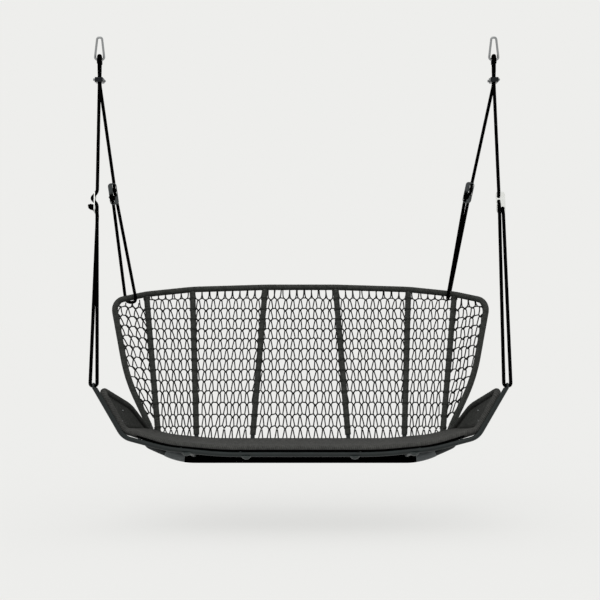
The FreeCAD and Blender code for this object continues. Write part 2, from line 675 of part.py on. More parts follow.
def make_rope(side, sign, front_turn, anchor_x, rim_way, spread):
    hook = Vec(HOOK_SHIFT + sign * HOOK_X, HANG_Y, HOOK_WIRE_Z)
    eye = HOOK_WIRE / 2 + GAP + SLEEVE_OD / 2
    pinch = ROPE / 2 + GAP
    lead = CLAMP_HEIGHT / 2 + CLAMP_LEAD
    sleeve_end = SLEEVE_LEG + ROPE

    def leg(way):
        """Down one leg of the rope's eye, from over the wire to below the clamp."""
        return [
            hook + BACKWARD * (way * eye) + UP * eye,
            hook + BACKWARD * (way * eye) - UP * sleeve_end,
            hook + BACKWARD * (way * pinch) - UP * (CLAMP_DROP - lead),
            hook + BACKWARD * (way * pinch) - UP * (CLAMP_DROP + lead),
        ]

    front_leg, rear_leg = leg(-1), leg(1)
    tip = Vec(sign * TIP_X, 0, TIP_Z)
    front = plate_frame(tip, front_leg[-1], FRONT_PLATE_AT, front_turn)
    anchor, rail = rim_anchor(sign, anchor_x)
    landing = anchor + BACKWARD * (rim_way * RIM_CLEAR)
    rear = plate_frame(landing, rear_leg[-1], REAR_PLATE_AT, 0)
    front_knot, front_third, front_through = plate_crossings(front)
    rear_knot, rear_third, rear_through = plate_crossings(rear)
    way = math.copysign(TIP_LEG, front[2].x - front[3].x)
    rim_main, rim_other = rail_turn(rear, anchor, rail, rim_way, spread)

    points = [front_knot, front_third, tip + ACROSS * way, tip - ACROSS * way]
    points += front_through + front_leg[::-1] + rear_leg + rear_through[::-1]
    points += [rim_main, rim_other, rear_third, rear_knot]
    tip_bend, eye_bend, rim_bend = TURN_FILL * TIP_LEG, EYE_FILL * eye, TURN_FILL * RIM_CLEAR
    leg_bends = [CLAMP_BEND, CLAMP_BEND, CLAMP_BEND, eye_bend]
    bends = [ROPE_BEND, tip_bend, tip_bend] + [ROPE_BEND] * 4 + leg_bends
    bends += leg_bends[::-1] + [ROPE_BEND] * 4 + [rim_bend, rim_bend, ROPE_BEND]
    path = route(points, bends)
    rope = bar(path, ROPE)
    section = math.pi * ROPE ** 2 / 4
    print(side, "rope: length %.0f, volume / (section x length) %.4f, radii %s" % (
        path.Length, rope.Volume / (section * path.Length), sorted(set(round(b, 1) for b in bends))))
    nodes[side + "_rope"] = rope
    for name, place, hole in (("front", front_knot, front_third), ("rear", rear_knot, rear_third)):
        ball = Part.makeSphere(KNOT / 2, place, unit(place - hole))
        nodes["%s_%s_knot" % (side, name)] = ball.cut(rod(hole, place, ROPE))
    nodes[side + "_front_adjuster"] = make_plate(front)
    nodes[side + "_rear_adjuster"] = make_plate(rear)
    fall = UP * (eye + SLEEVE_LEG)
    sleeve_points = [front_leg[0] - fall, front_leg[0], rear_leg[0], rear_leg[0] - fall]
    sleeve_path = route(sleeve_points, [eye_bend, eye_bend])
    nodes[side + "_eye_sleeve"] = bar(sleeve_path, SLEEVE_OD).cut(bar(sleeve_path, ROPE + 2 * GAP))
    make_clamp(side, hook - UP * CLAMP_DROP, pinch)
    return bar(path, ROPE + 2 * NET_CORD)


def make_clamp(side, middle, pinch):
    """Two halves that grip both legs of the rope, drawn together by two bolts."""
    corner = middle - BACKWARD * (CLAMP_DEPTH / 2) - UP * (CLAMP_HEIGHT / 2)
    block = Part.makeBox(CLAMP_HALF - GAP, CLAMP_DEPTH, CLAMP_HEIGHT, corner + ACROSS * GAP)
    rounded = [edge for edge in block.Edges if edge.CenterOfMass.x > middle.x + 2 * GAP]
    block = block.makeFillet(CLAMP_ROUND, rounded)
    for way in (-1, 1):
        place = middle + BACKWARD * (way * pinch) - UP * CLAMP_HEIGHT
        block = block.cut(Part.makeCylinder(ROPE / 2 + GAP, 2 * CLAMP_HEIGHT, place, UP))
    bolts, nuts = [], []
    for way in (-1, 1):
        centre = middle + BACKWARD * (way * (CLAMP_DEPTH + 2 * pinch + ROPE) / 4)
        face = centre + ACROSS * CLAMP_HALF
        block = block.cut(rod(centre, face + ACROSS, BOLT + 2 * PIN_PLAY))
        far = centre - ACROSS * (CLAMP_HALF + NUT_HEIGHT)
        head_radius = (BOLT_HEAD ** 2 / 4 + BOLT_HEAD_RISE ** 2) / (2 * BOLT_HEAD_RISE)
        dome = Part.makeSphere(head_radius, face + ACROSS * (BOLT_HEAD_RISE - head_radius))
        dome = dome.common(rod(face, face + ACROSS * BOLT_HEAD, 2 * BOLT_HEAD))
        bolts.append(rod(far, face, BOLT).fuse(dome).removeSplitter())
        spoke = BACKWARD * (NUT_FLATS / math.sqrt(3))
        hexagon = [far + FreeCAD.Rotation(ACROSS, angle).multVec(spoke) for angle in range(0, 360, 60)]
        nut = Part.Face(Part.makePolygon(hexagon + hexagon[:1])).extrude(ACROSS * NUT_HEIGHT)
        nuts.append(nut.cut(bolts[-1]))
    nodes[side + "_clamp_outer_half"] = block
    nodes[side + "_clamp_inner_half"] = block.mirror(middle, ACROSS)
    nodes[side + "_clamp_bolts"] = Part.makeCompound(bolts)
    nodes[side + "_clamp_nuts"] = Part.makeCompound(nuts)


# Standoffs between carrier and seat frame, and bosses under the carrier
def make_standoffs(carrier, roll_room, rib_bars):
    posts, bosses = [], []
    for index, rib in enumerate(rib_bars):
        low = at_width(both_ways(carrier_points()), rib_points(index)[0].x)
        post_x = low.x + STANDOFF_ASIDE
        foot = at_width(both_ways(carrier_points()), post_x)
        head = at_width(both_ways(seat_front()), post_x)
        posts.append(largest(rod(foot, head, STANDOFF).cut(carrier).cut(roll_room)))
        if index < BOSSED_RIBS:
            radius = (BOSS ** 2 / 4 + BOSS_RISE ** 2) / (2 * BOSS_RISE)
            bottom = low - UP * (CARRIER_OD / 2 + BOSS_RISE)
            cap = Part.makeSphere(radius, bottom + UP * radius)
            cap = cap.common(rod(bottom, bottom + UP * (BOSS_RISE + BOSS_SEAT), BOSS + 2 * BOSS_RISE))
            bosses.append(largest(cap.cut(carrier.fuse(rib))))
    nodes["seat_standoffs"] = Part.makeCompound(posts + [mirrored(post) for post in posts])
    nodes["carrier_bosses"] = Part.makeCompound(bosses + [mirrored(boss) for boss in bosses])


make_hooks()
carrier_bar = make_carrier()
seat_room = make_seat_frame()
crease_room = make_crease_rails(seat_room)
make_seat_cover(seat_room)
make_wing_covers(seat_room)
cross_bar = make_cross_tube(crease_room)
rim_bar, rim_room = make_rim(seat_room)
rib_bars = make_ribs(carrier_bar, cross_bar, rim_bar)
left_room = make_rope(
    "left", -1, LEFT_FRONT_TURN, LEFT_ANCHOR_X, LEFT_RIM_WAY, LEFT_RIM_SPREAD)
right_room = make_rope(
    "right", 1, RIGHT_FRONT_TURN, RIGHT_ANCHOR_X, RIGHT_RIM_WAY, RIGHT_RIM_SPREAD)
make_nets(rim_room, (left_room, right_room))
make_standoffs(carrier_bar, seat_room, rib_bars)

os.makedirs("parts", exist_ok=True)
for name, shape in nodes.items():
    shape.translate(Vec(-HOOK_SHIFT, -HANG_Y, -HANG_Z))
    shape.exportStep("parts/%s.step" % name)
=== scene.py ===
import math

import bpy
import numpy as np
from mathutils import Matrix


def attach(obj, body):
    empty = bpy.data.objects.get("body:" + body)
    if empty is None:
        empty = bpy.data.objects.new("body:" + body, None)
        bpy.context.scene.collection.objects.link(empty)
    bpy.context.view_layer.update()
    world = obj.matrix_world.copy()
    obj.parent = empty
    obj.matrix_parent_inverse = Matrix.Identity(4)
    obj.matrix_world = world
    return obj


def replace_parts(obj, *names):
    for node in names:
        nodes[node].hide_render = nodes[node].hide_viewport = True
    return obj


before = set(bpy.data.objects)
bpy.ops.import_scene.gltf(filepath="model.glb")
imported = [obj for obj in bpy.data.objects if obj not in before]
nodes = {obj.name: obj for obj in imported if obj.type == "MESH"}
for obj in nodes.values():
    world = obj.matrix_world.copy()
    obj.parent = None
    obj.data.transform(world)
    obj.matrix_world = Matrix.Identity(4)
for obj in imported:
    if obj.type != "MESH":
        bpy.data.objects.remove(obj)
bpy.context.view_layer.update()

# Hanging sofa. The frame's origin is the hanging line, midway between the hooks. Ropes, cords and the
# stage are in metres. The sofa's body is in millimetres from the middle of the front tube, as in the
# part's source.
MM = 0.001
FRONT_TUBE = np.array((0.017, -0.4143, -1.829))     # its middle, from the hanging line
UP = np.array((0.0, 0.0, 1.0))
OUTWARD = np.array((1.0, 0.0, 0.0))                 # on the right side
SIDES = (("left", -1), ("right", 1))
UPRIGHT = 0.1               # slope to the side below which a line counts as upright
chance = np.random.default_rng(11)                  # small irregularities of hand work

# Camera, from the photograph: level, 5.5 m in front of the front tube
CAMERA = (0.015, -5.9143, -1.180)
LENS = 78.57
SENSOR = 36.0

# Stage
FLOOR_Z = -2.170
FLOOR_REACH = 40.0
FLOOR_GREY = "#eeeeec"
FLOOR_GLOW = 0.75           # share of the floor's brightness that comes through it from below
AMBIENT = 0.88              # even light of the studio
UNDER = 0.06                # light from below, where the studio is dark
DUSK = 0.25                 # how far above and below the horizon the one fades into the other
KEY = 0.50                  # light from the front, above and to the left
KEY_SPREAD = 50             # degrees across the light
KEY_TILT = 38               # degrees from straight down
KEY_TURN = -25              # degrees to the left

# Ropes, in metres
ROPE = 0.015
ROPE_SWELL = 1.03           # outer radius of the braid, against the rope's
ROPE_STEP = 0.002
ROPE_SPAN = {"left": (-0.826, -0.748), "right": (0.704, 0.746)}     # where the rear ropes go round the rim
ROPE_ROOM = 0.016           # from the rim's lower side to below the rope round it
SLEEVE = 0.021
SLEEVE_FOOT_Z = -0.117
HEM = 0.75                  # share of the sleeve's radius at its drawn-in ends
HEM_RUN = 0.008             # length in which the sleeve would open by its whole radius
KNOT_RADIUS = 0.0098        # of the knot's turns
KNOT_STRAND = 0.0112
KNOT_DEPTH = 0.75           # of the knot along the rope, in shares of its radius
KNOT_START = (1.0, 0.3, 0.2)            # its turns begin square to this and to the rope
KNOT_POINTS = 73
TAIL = 0.018                # length of the rope's end from the knot's middle
TAIL_ROOT = 0.2             # share of it that is left out inside the knot
TAIL_LEAN = 0.5
TAIL_RADIUS = 0.42 * ROPE
TAIL_POINTS = 9

# Braids: depth of the grooves in shares of the radius, plaits, length of a lay, points round the braid
ROPE_BRAIDING = (0.12, 12, 0.010, 24)
KNOT_BRAIDING = (0.12, 10, 0.009, 20)
SLEEVE_BRAIDING = (0.10, 16, 0.012, 32)

# Cords of net, seat and windings, in metres
NET_CORD = 0.0058
SEAT_CORD = 0.0052
SEAT_LAY = 0.006            # length of a lay of the stretched cords
RIDGE = (0.15, 0.35)        # half thickness between them, and what a cord adds, in cord diameters
RIDGE_STEPS = 4             # points across one cord
TURN_HEIGHT = (0.75, 1.0)   # of a wound turn, from slack to tight

# Seat frame: right half from front to rear, with the bend at each corner
SEAT_LINE = (
    (330, 20, 23), (560, 20, 44), (745, 20, 102), (842, 20, 275),
    (757, 290, 180), (702, 522, 50), (600, 546, 18), (400, 552, -1),
)
SEAT_BENDS = (1400, 600, 60, 28, 500, 40, 300, 900)
RAIL_STEP = 4.0
COVER_RISE = 9.0            # from the seat tube's middle up to the seat cords
SEAT_SAG = 4.0
SEAT_SECTIONS = 9           # points along each seat cord
CORD_SLACK = 0.25           # spread of the stretched cords' heights
ROLL = 31.0                 # outer diameter of the wound seat tube
ROLL_GROOVE = 2.2           # depth between its turns
ROLL_DROP = 2.5             # by which the winding hangs below the tube's middle
ROLL_RINGS = 3              # rings of points to a turn
ROLL_SIDES = 18
SHADOW_CORD = 11.0              # diameter of the black cord along the roll's lower front side: painted shadow of the gap above the carrier
SHADOW_CORD_PLACE = (0, -13, -6)            # from the roll's middle
SHADOW_CORD_REACH = 690.0       # to each side
SHADOW_CORD_SIDES = 12

# Wings
WING_SPAN = (0.015, 0.96)   # shares of the fold between which cords are stretched
FOLD_RISE = 4.0             # of the cords' feet above the line of the fold
WING_OUT = 2.5              # of the cords outside the tube's middle
TIP_SHARE = 0.09            # share of the fold that is beside the rounded tip
TIP_DROP = 0.12             # most by which cords beside it are shorter, in shares of their length
WING_SECTIONS = 7

# Lower cross tube: right half from its outer end, and the sleeves over it
CROSS_LINE = ((640, 430, -31), (543, 430, -75))
CROSS_BENDS = (300,)
CROSS_STEP = 6.0
CROSS_SLEEVE = 50.0         # outer diameter
CROSS_SIDES = 24
SLEEVE_RISE = 11.0          # of the sleeves' middle above the tube's
DARK_REACH = 524.0          # to each side
GREY_REACH = (514.0, 609.0)             # from the middle
GREY_SLIM = 0.6             # by which a grey sleeve's radius is less than the dark one's

# Back
RECLINE = 0.3286
FOLD_2, FOLD_3 = 0.15, 0.55             # forward slope outside the second and the third rib
BACK_Y = 578.2
RIB_FOOT_X = (223.0, 482.0, 655.0)
RIB_HEAD_X = (169.0, 520.0, 737.0)
RIB_HEAD_Z = (710.0, 699.5, 676.5)
RIB = 20.0
RIB_WINDING = 4.2           # height of the cord wound on a rib
RIB_GROOVE = 0.9
RIB_BARE = (2.0, 14.0)      # length that is not wound, at foot and head
RIB_SIDES = 16
RIM = 26.0
RIM_FOOT = (690.0, 50.0)
RIM_WAIST = (803.0, 288.0)
RIM_CORNER = (880.0, 643.0)
RIM_BENDS = (700, 65, 90, 350, 1500)
RIM_WINDING = 1.5
RIM_WINDING_FOOT = 66.0     # height at which it begins
RIM_STEP = 10.0
RIM_SIDES = 18
WINDING_RINGS = 2           # rings of points to a turn on rim and ribs
COIL_TURNS = 1.6            # of net cord round a rib at each row
COIL_RISE = 0.012           # of a coil above its row, in shares of the net's height
COIL_START = (0.3, 1.0, 0.1)            # its turns begin square to this and to the rib
COIL_STEPS = 14

# Net: panels from the middle outwards, and loops of net cord
NET_FOOT = 22.0
NET_HEAD = 695.0            # height of the net's top, from which its rows are measured down
NET_WING_FOOT = 85.0        # where the outermost panel begins at the rim
NET_WING_ROOM = 12.0        # by which a row of the outermost panel may be lower than that
NET_ROWS = (1.0, 0.929, 0.853, 0.782, 0.712, 0.642, 0.572, 0.50, 0.427, 0.355, 0.28, 0.20, 0.118, 0.04)
NET_PITCH = ((0.0356, 0.0356), (0.0362, 0.0325), (0.0365, 0.0285), (0.042, 0.040))   # metres, top and foot
NET_SHIFT = (0.0, 0.0, 0.0, 0.5)        # of a row's middle loop from the panel's middle, in loops
MOST_LOOPS = 30             # more than any row has to each side of its middle
ROW_LIFT = 22.0             # rise of the outermost panel's rows towards the rim
RIM_ROOM = 2.0              # from the rim to the net's corners beside a rib
CORNER_SLANT = 0.9          # weight of height against width, by which the rim's corner is its furthest point
OVERHANG = 0.01             # by which cords go on into rib or rim, in shares of the panel's width
EDGE_ROOM = 0.12            # by which a loop's middle may be outside its panel, in loops
HOOK_REACH = 0.7            # how far aside a loop may hook, in loops
LOOP_WANDER = 0.05          # unevenness of the loops' places, in loops
LOOP_SLACK = 0.03           # and of their lengths, in shares
CURVE_STEPS = 3             # points on the cord from one point of a loop to the next
LACE_SPREAD = (0.06, 0.27)  # of the legs of lacing from their loop's middle, at top and foot, in loops
LACE_DROP = 0.004           # of their tops below the row, in shares of the net's height
LACE_BEHIND = 0.6           # of one leg behind the net's plane, and the other before it, in cord diameters
LACE_RISE = ROLL / 3        # of their feet above the rail's middle
LACE_STEP = 0.006           # metres


# Shapes
def at(x, y, z):
    """A point in millimetres from the middle of the front tube, as a point of the frame."""
    return np.array((x, y, z), float) * MM + FRONT_TUBE


def unit(vector):
    return vector / np.linalg.norm(vector)


def flip(points):
    """The same points on the other side of the sofa."""
    return np.asarray(points) * (-1, 1, 1) + (2 * FRONT_TUBE[0], 0, 0)


def distances(line):
    """How far each point lies along a line."""
    return np.concatenate([[0.0], np.cumsum(np.linalg.norm(np.diff(line, axis=0), axis=1))])


def even(line, count):
    """A number of points at even steps on a line."""
    far = distances(line)
    places = np.linspace(0, far[-1], count)
    return np.stack([np.interp(places, far, line[:, axis]) for axis in range(3)], axis=1)


def spaced(line, step):
    """Points on a line at even steps of about a length."""
    return even(line, max(2, round(distances(line)[-1] / step) + 1))


def smooth(points, steps):
    """A smooth line through points."""
    points = np.asarray(points)
    before = np.vstack([2 * points[0] - points[1], points[:-2]])
    a, b, c = before, points[:-1], points[1:]
    d = np.vstack([points[2:], 2 * points[-1] - points[-2]])
    t = np.linspace(0, 1, steps, endpoint=False)[None, :, None]
    a, b, c, d = (x[:, None, :] for x in (a, b, c, d))
    line = b + (c - a) / 2 * t + (a - 2.5 * b + 2 * c - d / 2) * t ** 2
    line = line + (3 * (b - c) + d - a) / 2 * t ** 3
    return np.vstack([line.reshape(-1, 3), points[-1:]])


def tube_line(points, bends, step, closed=False):
    """The centre line of a bent tube: straight runs joined by tangent arcs."""
    points = [np.asarray(point) for point in points]
    corners = range(len(points)) if closed else range(1, len(points) - 1)
    line = [] if closed else [points[0]]
    for index, bend in zip(corners, bends):
        corner = points[index]
        behind = unit(points[index - 1] - corner)
        ahead = unit(points[(index + 1) % len(points)] - corner)
        half = math.acos(behind @ ahead) / 2
        turn = math.pi - 2 * half
        radius = bend * MM
        centre = corner + unit(behind + ahead) * radius / math.sin(half)
        enter = corner + behind * radius / math.tan(half) - centre
        leave = corner + ahead * radius / math.tan(half) - centre
        count = math.ceil(radius * turn / step) + 1
        for share in np.linspace(0, 1, count + 1):
            swung = enter * math.sin((1 - share) * turn) + leave * math.sin(share * turn)
            line.append(centre + swung / math.sin(turn))
    line.append(line[0] if closed else points[-1])
    return spaced(np.array(line), step)


def mirror_line(half, bends, step):
    """The centre line of a tube that goes on across the middle, from its right half, outer end first."""
    return tube_line([flip(point) for point in half] + half[::-1], bends + bends[::-1], step)


def across(line):
    """Two directions across a line at each point, which turn as little as they can."""
    along = np.gradient(line, axis=0)
    along /= np.linalg.norm(along, axis=1)[:, None]
    side = np.empty_like(line)
    start = np.cross(along[0], UP)
    if np.linalg.norm(start) < UPRIGHT:
        start = np.cross(along[0], (0.0, 1.0, 0.0))
    side[0] = unit(start)
    for index in range(1, len(line)):
        turned = side[index - 1] - along[index] * (side[index - 1] @ along[index])
        side[index] = unit(turned)
    return side, np.cross(along, side)


class Cords:
    """The cords of one piece, gathered into one mesh. Yarn coordinates: lays along, turns around."""

    def __init__(self):
        self.points = []
        self.faces = []
        self.yarn = []
        self.count = 0

    def add_grid(self, grid, along, around):
        """A tube as rings of points; along and around are its yarn coordinates."""
        rings, sides = grid.shape[:2]
        index = np.arange(rings * sides).reshape(rings, sides) + self.count
        after = np.roll(index, -1, axis=1)
        quads = np.stack([index[:-1], after[:-1], after[1:], index[1:]], axis=-1)
        u = np.broadcast_to(along[:, None], (rings, sides))
        v = np.broadcast_to(around[:sides], (rings, sides))
        w = np.broadcast_to(around[1:], (rings, sides))
        corners = [(u[:-1], v[:-1]), (u[:-1], w[:-1]), (u[1:], w[1:]), (u[1:], v[1:])]
        yarn = np.stack([np.stack(corner, axis=-1) for corner in corners], axis=2)
        self.points.append(grid.reshape(-1, 3))
        self.faces += quads.reshape(-1, 4).tolist()
        self.yarn.append(yarn.reshape(-1, 2))
        self.faces.append(index[0][::-1].tolist())
        self.faces.append(index[-1].tolist())
        self.yarn.append(np.zeros((2 * sides, 2)))
        self.count += rings * sides

    def add(self, line, radius, sides=6, lay=0.008, strands=3):
        """A round cord along a line; radius may differ from ring to ring and round each ring."""
        side, lift = across(line)
        angle = 2 * math.pi * np.arange(sides) / sides
        ring = side[:, None, :] * np.cos(angle)[:, None] + lift[:, None, :] * np.sin(angle)[:, None]
        radius = np.broadcast_to(radius, (len(line), sides))
        grid = line[:, None, :] + ring * radius[..., None]
        self.add_grid(grid, distances(line) / lay, strands * np.arange(sides + 1) / sides)

    def wind(self, line, inner, outer, pitch, sides):
        """A tube wound with round cord, turn beside turn."""
        turns = distances(line)[:, None] / pitch + np.arange(sides) / sides
        share = turns - np.floor(turns)
        tight = chance.uniform(*TURN_HEIGHT, math.ceil(turns.max()) + 1)[np.floor(turns).astype(int)]
        self.add(line, inner + (outer - inner) * tight * np.sqrt(1 - (2 * share - 1) ** 2), sides)

    def braid(self, line, radius, braiding, hem=1.0):
        """A braided cord: two sets of strands that cross each other. A hem draws its rings in."""
        depth, plaits, lay, sides = braiding
        turn = plaits * np.arange(sides) / sides
        far = distances(line)[:, None] / lay
        right = np.abs(np.sin(math.pi * (turn + far)))
        left = np.abs(np.sin(math.pi * (turn - far)))
        self.add(line, radius * (1 - depth * (1 - right * left)) * hem, sides, lay, plaits)

    def piece(self, name, material, slot, body="sofa"):
        """The finished mesh as a piece of the part."""
        mesh = bpy.data.meshes.new(name)
        mesh.from_pydata(np.vstack(self.points).tolist(), [], self.faces)
        layer = mesh.uv_layers.new(name="yarn")
        layer.data.foreach_set("uv", np.vstack(self.yarn).astype(np.float32).ravel())
        mesh.polygons.foreach_set("use_smooth", np.ones(len(mesh.polygons), bool))
        mesh.materials.append(material)
        made = bpy.data.objects.new(name, mesh)
        bpy.context.scene.collection.objects.link(made)
        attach(made, body)
        return made


# Materials
BLOTCH_EDGES = (0.35, 0.65)
PEEL = 1.6 * MM             # grain of a powder coat
FIBRE = 0.7 * MM            # fibres of a cord
ONE_BAND = 0.628            # scale of a wave texture that has one slanting band to a unit


def linear(code):
    """A colour written as sRGB hex, in the shader's linear values."""
    shares = [int(code[place:place + 2], 16) / 255 for place in (1, 3, 5)]
    return [s / 12.92 if s < 0.04045 else ((s + 0.055) / 1.055) ** 2.4 for s in shares] + [1.0]


def add(tree, kind, inputs=(), **settings):
    """Adds a node; inputs are values, or outputs of other nodes."""
    made = tree.nodes.new(kind)
    for name, value in settings.items():
        setattr(made, name, value)
    for name, value in dict(inputs).items():
        if isinstance(value, bpy.types.NodeSocket):
            tree.links.new(value, made.inputs[name])
        else:
            made.inputs[name].default_value = value
    return made


def start_material(name, **constants):
    """A new material with constant inputs, its node tree and its shader."""
    material = bpy.data.materials.new(name)
    material.use_nodes = True
    tree = material.node_tree
    shader = tree.nodes["Principled BSDF"]
    for socket, value in constants.items():
        shader.inputs[socket.replace("_", " ")].default_value = value
    return material, tree, shader


def blotched(tree, dark, pale, size_mm, coordinates):
    """Two colours mixed in soft blotches of a size."""
    noise = add(tree, "ShaderNodeTexNoise", {
        "Vector": coordinates, "Scale": 1 / (size_mm * MM), "Detail": 4.0, "Roughness": 0.6})
    ramp = add(tree, "ShaderNodeValToRGB", {"Fac": noise.outputs["Fac"]})
    for element, edge, colour in zip(ramp.color_ramp.elements, BLOTCH_EDGES, (dark, pale)):
        element.position = edge
        element.color = linear(colour)
    return ramp.outputs["Color"]


def powder_coated_steel(name, dark, pale):
    """Polyester powder coat, sprayed and stoved: dull, with a fine orange peel and dusty patches."""
    material, tree, shader = start_material(name, Specular_IOR_Level=0.35)
    place = add(tree, "ShaderNodeTexCoord").outputs["Object"]
    patches = blotched(tree, dark, pale, size_mm=45, coordinates=place)
    tree.links.new(patches, shader.inputs["Base Color"])
    peel = add(tree, "ShaderNodeTexNoise", {"Vector": place, "Scale": 1 / PEEL, "Detail": 2.0})
    rough = add(tree, "ShaderNodeMapRange", {
        "Value": peel.outputs["Fac"], "To Min": 0.42, "To Max": 0.60})
    tree.links.new(rough.outputs["Result"], shader.inputs["Roughness"])
    bump = add(tree, "ShaderNodeBump", {
        "Height": peel.outputs["Fac"], "Strength": 0.25, "Distance": 0.2 * MM})
    tree.links.new(bump.outputs["Normal"], shader.inputs["Normal"])
    return material


def twisted_cord(name, dark, pale, blotch_mm):
    """Twisted polyolefin cord: matt, with slanting yarns and uneven dye, and the grooves between the yarns
    darkened as painted shade.
    """
    material, tree, shader = start_material(name, Roughness=0.85, Specular_IOR_Level=0.2)
    yarn = add(tree, "ShaderNodeUVMap", uv_map="yarn").outputs["UV"]
    place = add(tree, "ShaderNodeTexCoord").outputs["Object"]
    strands = add(tree, "ShaderNodeTexWave", {"Vector": yarn, "Scale": ONE_BAND, "Distortion": 0.4},
                  wave_type="BANDS", bands_direction="DIAGONAL")
    tone = blotched(tree, dark, pale, blotch_mm, place)
    # the grooves between the yarns are darkened: painted shade
    groove_shade = add(tree, "ShaderNodeMapRange", {
        "Value": strands.outputs["Fac"], "To Min": 0.55, "To Max": 1.0})
    shaded = add(tree, "ShaderNodeVectorMath", {0: tone, 1: groove_shade.outputs["Result"]}, operation="MULTIPLY")
    tree.links.new(shaded.outputs["Vector"], shader.inputs["Base Color"])
    fibre = add(tree, "ShaderNodeTexNoise", {"Vector": place, "Scale": 1 / FIBRE, "Detail": 2.0})
    height = add(tree, "ShaderNodeMath", {
        0: strands.outputs["Fac"], 1: fibre.outputs["Fac"]}, operation="ADD")
    bump = add(tree, "ShaderNodeBump", {
        "Height": height.outputs["Value"], "Strength": 0.6, "Distance": 0.4 * MM})
    tree.links.new(bump.outputs["Normal"], shader.inputs["Normal"])
    return material


def braided_rope(name, dark, pale):
    """Braided polyester rope: black and matt, with crossing plaits, paler on the crossings and darker in the
    grooves as painted shade.
    """
    material, tree, shader = start_material(name, Roughness=0.95, Specular_IOR_Level=0.0)
    yarn = add(tree, "ShaderNodeUVMap", uv_map="yarn").outputs["UV"]
    right = add(tree, "ShaderNodeTexWave", {"Vector": yarn, "Scale": ONE_BAND},
                wave_type="BANDS", bands_direction="DIAGONAL")
    turned = add(tree, "ShaderNodeMapping", {"Vector": yarn, "Scale": (1.0, -1.0, 1.0)})
    left = add(tree, "ShaderNodeTexWave", {"Vector": turned.outputs["Vector"], "Scale": ONE_BAND},
               wave_type="BANDS", bands_direction="DIAGONAL")
    plait = add(tree, "ShaderNodeMath", {
        0: right.outputs["Fac"], 1: left.outputs["Fac"]}, operation="MULTIPLY")
    # paler where the plaits cross and darker between them: painted shade
    tone = add(tree, "ShaderNodeMix", {
        "Factor": plait.outputs["Value"], 6: linear(dark), 7: linear(pale)}, data_type="RGBA")
    tree.links.new(tone.outputs[2], shader.inputs["Base Color"])
    bump = add(tree, "ShaderNodeBump", {
        "Height": plait.outputs["Value"], "Strength": 0.3, "Distance": 0.3 * MM})
    tree.links.new(bump.outputs["Normal"], shader.inputs["Normal"])
    return material


def bare_metal(name, colour, low, high, scratch_mm):
    """Bare metal, drawn or stamped and then tumbled: fine scratches break up its gloss."""
    material, tree, shader = start_material(name, Metallic=1.0)
    shader.inputs["Base Color"].default_value = linear(colour)
    place = add(tree, "ShaderNodeTexCoord").outputs["Object"]
    stretched = add(tree, "ShaderNodeMapping", {"Vector": place, "Scale": (1.0, 1.0, 0.15)})
    scratch = add(tree, "ShaderNodeTexNoise", {
        "Vector": stretched.outputs["Vector"], "Scale": 1 / (scratch_mm * MM), "Detail": 3.0})
    rough = add(tree, "ShaderNodeMapRange", {
        "Value": scratch.outputs["Fac"], "To Min": low, "To Max": high})
    tree.links.new(rough.outputs["Result"], shader.inputs["Roughness"])
    bump = add(tree, "ShaderNodeBump", {
        "Height": scratch.outputs["Fac"], "Strength": 0.15, "Distance": 0.1 * MM})
    tree.links.new(bump.outputs["Normal"], shader.inputs["Normal"])
    return material


CARRIER_PAINT = powder_coated_steel("powder_coated_steel_slate", "#0d1515", "#131d1d")
BOSS_PAINT = powder_coated_steel("powder_coated_steel_boss", "#3c4242", "#4a5150")
FRAME_PAINT = powder_coated_steel("powder_coated_steel_grey", "#2a2c2a", "#343634")
SLEEVE_PAINT = powder_coated_steel("powder_coated_steel_pale", "#7c8283", "#878d8e")
SEAT_YARN = twisted_cord("twisted_seat_cord", "#444442", "#575754", 14)
# The same seat cord made darker for the wings and the rear of the seat's edge, which face away from the
# light: painted shade
SEAT_YARN_SHADED = twisted_cord("twisted_seat_cord_painted_shade", "#323331", "#424340", 18)
FRAME_YARN = twisted_cord("twisted_frame_cord", "#343633", "#4a4c48", 14)
NET_YARN = twisted_cord("twisted_net_cord", "#1a1b1a", "#262726", 25)
ROPE_BRAID = braided_rope("braided_polyester_rope", "#030303", "#0c0c0c")
SLEEVE_BRAID = braided_rope("braided_chafe_sleeve", "#020202", "#0a0a0a")
HOOK_STEEL = bare_metal("polished_stainless_wire", "#97999a", 0.12, 0.30, 0.8)
# A dark colour standing in for the dark surroundings that the polished clamp reflects: painted reflection
CLAMP_STEEL_PAINTED_REFLECTION = bare_metal("cast_steel_painted_dark_reflection", "#26282a", 0.18, 0.34, 1.5)
FRONT_PLATE_METAL = bare_metal("stamped_aluminium", "#d8d9d6", 0.20, 0.36, 1.0)
# The rear plates are the same aluminium as the front ones, made dark as painted shade
PLATE_METAL_PAINTED_SHADE = bare_metal("aluminium_painted_shade", "#4c4f50", 0.30, 0.46, 1.0)
SCREW_STEEL = bare_metal("turned_stainless_steel", "#77797a", 0.15, 0.30, 0.8)


def finish_node(material, *names):
    """Gives nodes of the frame a material."""
    for name in names:
        slots = nodes[name].data.materials
        slots.clear()
        slots.append(material)


for side in ("left", "right"):
    finish_node(HOOK_STEEL, side + "_hook_body", side + "_gate", side + "_gate_pin")
    finish_node(CLAMP_STEEL_PAINTED_REFLECTION, side + "_clamp_outer_half", side + "_clamp_inner_half")
    finish_node(SCREW_STEEL, side + "_clamp_bolts", side + "_clamp_nuts")
    finish_node(FRONT_PLATE_METAL, side + "_front_adjuster")
    finish_node(PLATE_METAL_PAINTED_SHADE, side + "_rear_adjuster")
    finish_node(CARRIER_PAINT, side + "_rope_eye", side + "_crease_rail")
    finish_node(CARRIER_PAINT, *(side + "_rib_%d" % rib for rib in (1, 2, 3)))
finish_node(CARRIER_PAINT, "front_carrier_tube", "lower_cross_tube", "seat_standoffs")
finish_node(BOSS_PAINT, "carrier_bosses")
finish_node(FRAME_PAINT, "seat_frame_tube", "back_rim")
finish_node(SCREW_STEEL, "wing_screws")


# Ropes, from the front stopper knot over the hook to the rear stopper knot

